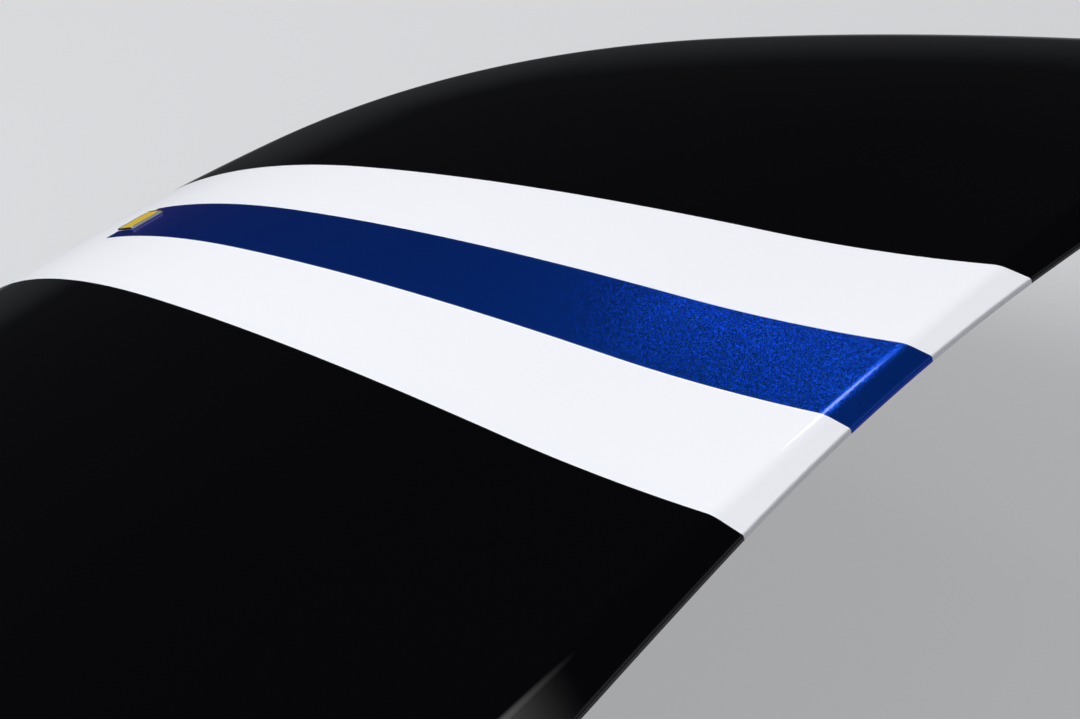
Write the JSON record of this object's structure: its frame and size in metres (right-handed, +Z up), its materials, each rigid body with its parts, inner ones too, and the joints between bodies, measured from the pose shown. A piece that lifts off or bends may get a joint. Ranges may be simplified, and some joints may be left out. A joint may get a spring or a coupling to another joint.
{
  "type": "sports car bonnet",
  "caption": "Cambered aluminium front bonnet with painted stripes, pressed inner frame, swan-neck rear hinges, gas struts and a latch striker.",
  "frame": {"origin": "middle of the four hinge bolt holes, on the underside of the hinge feet", "axes": "+Z up, -Y towards the front of the car, +X towards the car's left"},
  "size_m": [1.12, 1.391, 0.3497],
  "materials": {
    "black_paint": "deep gloss black lacquer",
    "frame_paint": "thin satin black primer over aluminium",
    "white_paint": "gloss white lacquer",
    "blue_paint": "metallic blue lacquer with flake",
    "badge_enamel": "plain yellow enamel",
    "black_steel": "satin black electrocoat on steel",
    "zinc_steel": "bright zinc plate",
    "strut_paint": "satin black enamel",
    "rod_chrome": "ground and plated rod",
    "rubber": "matt black rubber"
  },
  "bodies": {
    "body_side": {"hinge_bases": "black_steel", "hinge_pins": "zinc_steel", "strut_pins_body": "zinc_steel"},
    "bonnet": {"outer_skin": "black_paint", "inner_frame": "frame_paint", "stripe_white": "white_paint", "stripe_blue": "blue_paint", "badge_plate": "badge_enamel", "hinge_arms": "black_steel", "strut_brackets": "black_steel", "striker": "zinc_steel", "safety_hook": "zinc_steel", "rubber_stops": "rubber", "rear_seal": "rubber"},
    "strut_tube_left": {"strut_cylinder_left": "strut_paint"},
    "strut_piston_left": {"strut_rod_left": "rod_chrome", "strut_pin_left": "zinc_steel"},
    "strut_tube_right": {"strut_cylinder_right": "strut_paint"},
    "strut_piston_right": {"strut_rod_right": "rod_chrome", "strut_pin_right": "zinc_steel"}
  },
  "joints": [
    {"name": "bonnet_hinge", "type": "hinge", "parent": "body_side", "child": "bonnet", "pos_m": [0, 0.01, 0.065], "axis": [-1, 0, 0], "range_deg": [0, 48]},
    {"name": "strut_swing_left", "type": "hinge", "parent": "body_side", "child": "strut_tube_left", "pos_m": [0.431, -0.04, 0.029], "axis": [-1, 0, 0], "range_deg": [0, 51.74]},
    {"name": "strut_slide_left", "type": "slide", "parent": "strut_tube_left", "child": "strut_piston_left", "axis": [0, -0.9981, -0.0614], "range_m": [0, 0.0427]},
    {"name": "strut_swing_right", "type": "hinge", "parent": "body_side", "child": "strut_tube_right", "pos_m": [-0.431, -0.04, 0.029], "axis": [-1, 0, 0], "range_deg": [0, 51.74]},
    {"name": "strut_slide_right", "type": "slide", "parent": "strut_tube_right", "child": "strut_piston_right", "axis": [0, -0.9981, -0.0614], "range_m": [0, 0.0427]}
  ],
  "couplings": [
    {"joint": "strut_swing_left", "follows": "bonnet_hinge", "ratio": 1.0768},
    {"joint": "strut_slide_left", "follows": "bonnet_hinge", "m_per_rad": 0.050803},
    {"joint": "strut_swing_right", "follows": "bonnet_hinge", "ratio": 1.0768},
    {"joint": "strut_slide_right", "follows": "bonnet_hinge", "m_per_rad": 0.050803}
  ]
}
